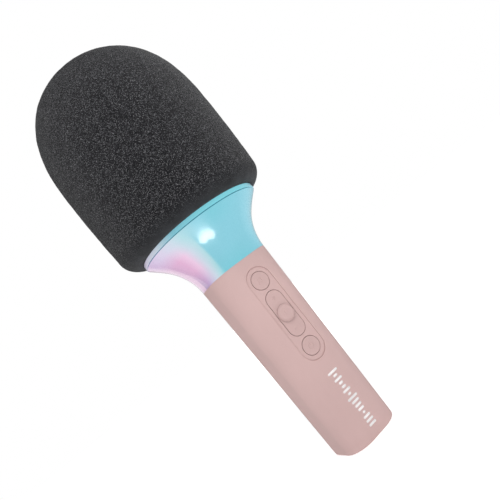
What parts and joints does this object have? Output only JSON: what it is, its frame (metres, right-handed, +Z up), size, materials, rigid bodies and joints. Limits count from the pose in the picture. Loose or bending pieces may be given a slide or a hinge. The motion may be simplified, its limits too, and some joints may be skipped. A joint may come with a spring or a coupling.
{
  "type": "toy microphone",
  "caption": "Handheld toy karaoke microphone with a square-section handle, a key panel, a flared light collar and a pull-off foam windscreen over a grille cage and speaker.",
  "frame": {"origin": "centre of the base, on the surface that the handle stands on", "axes": "+Z up the handle to the top of the windscreen, -Y out of the key panel, +X to the right of someone facing the keys"},
  "size_m": [0.0928, 0.0928, 0.245],
  "materials": {
    "handle_pink": "matte",
    "base_pink": "matte",
    "key_pink": "matte",
    "screw_steel": "satin",
    "black_plastic": "matte",
    "white_plastic": "satin",
    "shield_steel": "satin",
    "circuit_board": "gloss",
    "capacitor_can": "satin",
    "cell_wrap": "gloss",
    "pad_rubber": "matte",
    "lead_red": "satin",
    "lead_green": "satin",
    "lead_blue": "satin",
    "light_pipe": "gloss",
    "collar_diffuser": "gloss",
    "ring_diffuser": "gloss",
    "led_package": "gloss",
    "speaker_metal": "satin",
    "cone_paper": "matte",
    "coil_copper": "satin",
    "magnet_steel": "satin",
    "cage_plastic": "satin",
    "capsule_metal": "satin",
    "windscreen_foam": "matte"
  },
  "bodies": {
    "handle": {"handle_sleeve": "handle_pink", "base_cap": "base_pink", "base_screws": "screw_steel", "chassis": "black_plastic", "neck_ring": "white_plastic", "neck_screws": "screw_steel", "key_frame": "black_plastic", "switch_bodies": "shield_steel", "main_board": "circuit_board", "board_screws": "screw_steel", "radio_module": "shield_steel", "amplifier_chip": "black_plastic", "capacitors": "capacitor_can", "battery_cell": "cell_wrap", "battery_pad": "pad_rubber", "battery_leads": "lead_red", "charge_board": "circuit_board", "charge_socket": "shield_steel", "charge_light": "light_pipe", "light_collar": "collar_diffuser", "collar_ring": "ring_diffuser", "led_board": "white_plastic", "leds": "led_package", "led_leads": "lead_green", "reflector_cone": "white_plastic", "baffle_plate": "black_plastic", "baffle_screws": "screw_steel", "speaker_frame": "speaker_metal", "speaker_gasket": "pad_rubber", "speaker_surround": "pad_rubber", "speaker_magnet": "magnet_steel", "speaker_leads": "lead_red", "head_cage": "cage_plastic", "mic_bridge": "black_plastic", "mic_isolator": "pad_rubber", "mic_capsule": "capsule_metal", "mic_leads": "lead_blue"},
    "mode_key": {"mode_button": "key_pink", "mode_plunger": "black_plastic"},
    "volume_key": {"volume_rocker": "key_pink", "volume_plungers": "black_plastic"},
    "play_key": {"play_button": "key_pink", "play_plunger": "black_plastic"},
    "power_key": {"power_button": "key_pink", "power_plunger": "black_plastic"},
    "diaphragm": {"speaker_cone": "cone_paper", "voice_coil": "coil_copper", "dust_cap": "cone_paper"},
    "windscreen": {"foam_windscreen": "windscreen_foam"}
  },
  "joints": [
    {"name": "mode_press", "type": "slide", "parent": "handle", "child": "mode_key", "axis": [0, 0.9997, 0.0224], "range_m": [0, 0.0004], "stiffness_N_per_m": 3500},
    {"name": "volume_rock", "type": "hinge", "parent": "handle", "child": "volume_key", "pos_m": [0, -0.01464, 0.07338], "axis": [1, 0, 0], "range_deg": [-2, 2], "stiffness_Nm_per_rad": 0.4},
    {"name": "play_press", "type": "slide", "parent": "handle", "child": "play_key", "axis": [0, 0.9997, 0.0224], "range_m": [0, 0.0003], "stiffness_N_per_m": 3500},
    {"name": "power_press", "type": "slide", "parent": "handle", "child": "power_key", "axis": [0, 0.9997, 0.0224], "range_m": [0, 0.0004], "stiffness_N_per_m": 3500},
    {"name": "cone_travel", "type": "slide", "parent": "handle", "child": "diaphragm", "axis": [0, 0, 1], "range_m": [-0.0008, 0.0008], "stiffness_N_per_m": 2000},
    {"name": "windscreen_pull", "type": "slide", "parent": "handle", "child": "windscreen", "axis": [0, 0, 1], "range_m": [0, 0.1]}
  ]
}
